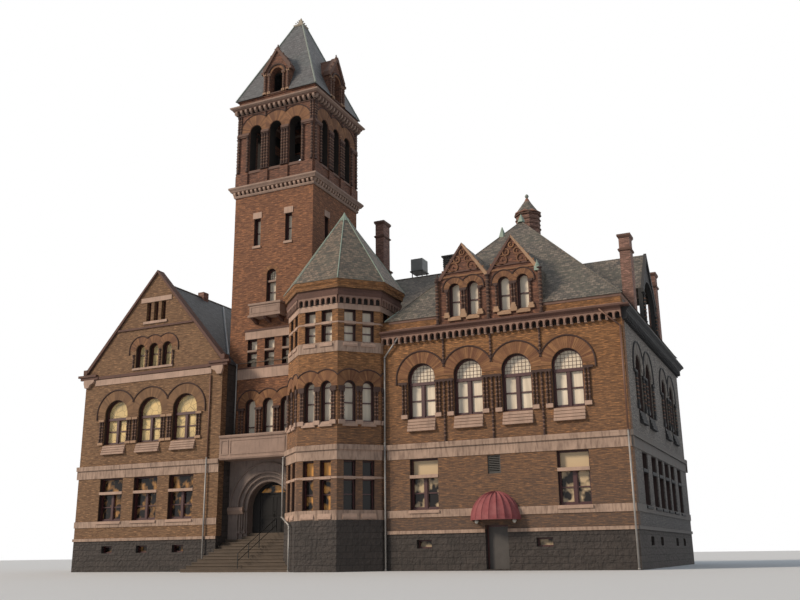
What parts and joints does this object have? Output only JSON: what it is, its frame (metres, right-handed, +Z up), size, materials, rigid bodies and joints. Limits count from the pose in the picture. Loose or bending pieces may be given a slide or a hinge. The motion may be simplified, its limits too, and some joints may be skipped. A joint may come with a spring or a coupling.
{
  "type": "town hall building with a belfry tower",
  "caption": "Brick and stone town hall with a square belfry tower, a corner turret, gabled and hipped wings, an arched porch with steps and hinged doors.",
  "frame": {"origin": "on the ground under the middle of the plan, on the underside of the ground slab", "axes": "+X to the right of the entrance front, +Y to the back, +Z up"},
  "size_m": [34.5702, 19.5474, 36.67],
  "materials": {
    "golden_brick": "rough Roman brick",
    "red_brick": "rough brick",
    "trim_stone": "dressed sandstone",
    "rock_stone": "rock-faced stone",
    "step_stone": "worn sandstone",
    "slate": "matt slate",
    "tower_slate": "smooth slate",
    "frame_paint": "satin maroon paint",
    "door_wood": "satin painted wood",
    "window_glass": "clear glass",
    "floor_timber": "matt floor build-up",
    "metal_black": "painted iron",
    "metal_lead": "aged sheet metal",
    "awning_cloth": "dusty red canvas"
  },
  "bodies": {
    "building": {"balcony": "trim_stone", "basement_walls": "rock_stone", "belfry_arches": "red_brick", "belfry_pedestals": "red_brick", "belfry_piers": "red_brick", "cellar_door_frame": "door_wood", "cellar_vent_louvre": "metal_lead", "chimneys": "red_brick", "door_awning": "awning_cloth", "dormer_roofs": "slate", "entrance_door_frame": "door_wood", "entrance_handrail": "metal_black", "entrance_steps": "step_stone", "floors": "floor_timber", "left_back_wall": "golden_brick", "left_front_wall": "golden_brick", "left_roof": "slate", "left_side_wall": "golden_brick", "left_window_frames": "frame_paint", "left_window_glass": "window_glass", "middle_back_wall": "golden_brick", "middle_roof": "slate", "porch_arch": "trim_stone", "porch_jambs": "trim_stone", "porch_landing": "step_stone", "return_walls": "golden_brick", "right_back_wall": "golden_brick", "right_front_wall_left": "golden_brick", "right_front_wall_over_door": "golden_brick", "right_front_wall_right": "golden_brick", "right_front_wall_upper": "golden_brick", "right_roof": "slate", "right_side_wall": "golden_brick", "right_window_frames": "frame_paint", "right_window_glass": "window_glass", "roof_units": "metal_lead", "side_gable_arch": "red_brick", "tower_dormers": "red_brick", "tower_finial": "metal_lead", "tower_front_arch": "red_brick", "tower_lower_cornice": "red_brick", "tower_lower_walls": "red_brick", "tower_roof": "tower_slate", "tower_upper_cornice": "red_brick", "tower_walls": "red_brick", "tower_window_frames": "frame_paint", "tower_window_glass": "window_glass", "turret_bands": "trim_stone", "turret_base_walls": "rock_stone", "turret_cornice": "red_brick", "turret_roof": "slate", "turret_walls": "golden_brick", "twin_dormer_front": "red_brick", "wing_cornices": "red_brick", "wing_stone_bands": "trim_stone"},
    "left_leaf": {"entrance_door_left": "door_wood"},
    "right_leaf": {"entrance_door_right": "door_wood"},
    "cellar_leaf": {"cellar_door": "door_wood"}
  },
  "joints": [
    {"name": "entrance_left_hinge", "type": "hinge", "parent": "building", "child": "left_leaf", "pos_m": [-4.8801, -5.655, 3.05], "axis": [0, 0, 1], "range_deg": [0, 90]},
    {"name": "entrance_right_hinge", "type": "hinge", "parent": "building", "child": "right_leaf", "pos_m": [-2.9921, -5.655, 3.05], "axis": [0, 0, -1], "range_deg": [0, 90]},
    {"name": "cellar_hinge", "type": "hinge", "parent": "building", "child": "cellar_leaf", "pos_m": [10.7441, -8.109, 1], "axis": [0, 0, 1], "range_deg": [0, 90]}
  ]
}
